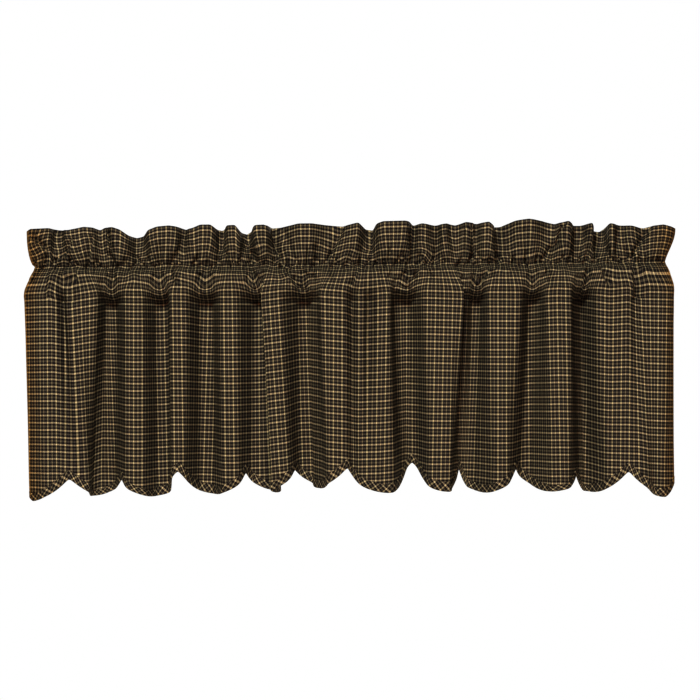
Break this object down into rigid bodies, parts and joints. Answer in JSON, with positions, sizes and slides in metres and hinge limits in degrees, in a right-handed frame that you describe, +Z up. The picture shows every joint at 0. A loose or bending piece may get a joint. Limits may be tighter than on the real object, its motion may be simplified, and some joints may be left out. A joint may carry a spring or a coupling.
{
  "type": "window valance",
  "caption": "Gathered rod-pocket window valance in checked cotton, with a standing ruffle and a bias-bound scalloped hem.",
  "frame": {"origin": "on the axis of the rod pocket, half way along the window", "axes": "+X along the rod to the right of someone in the room, +Y from the room towards the window, +Z up"},
  "size_m": [0.9778, 0.0677, 0.4165],
  "materials": {
    "checked_cotton": "matte woven check",
    "bias_binding": "matte woven check, bias cut"
  },
  "bodies": {
    "root": {"heading": "checked_cotton", "panel": "checked_cotton", "hem_binding": "bias_binding"}
  },
  "joints": []
}
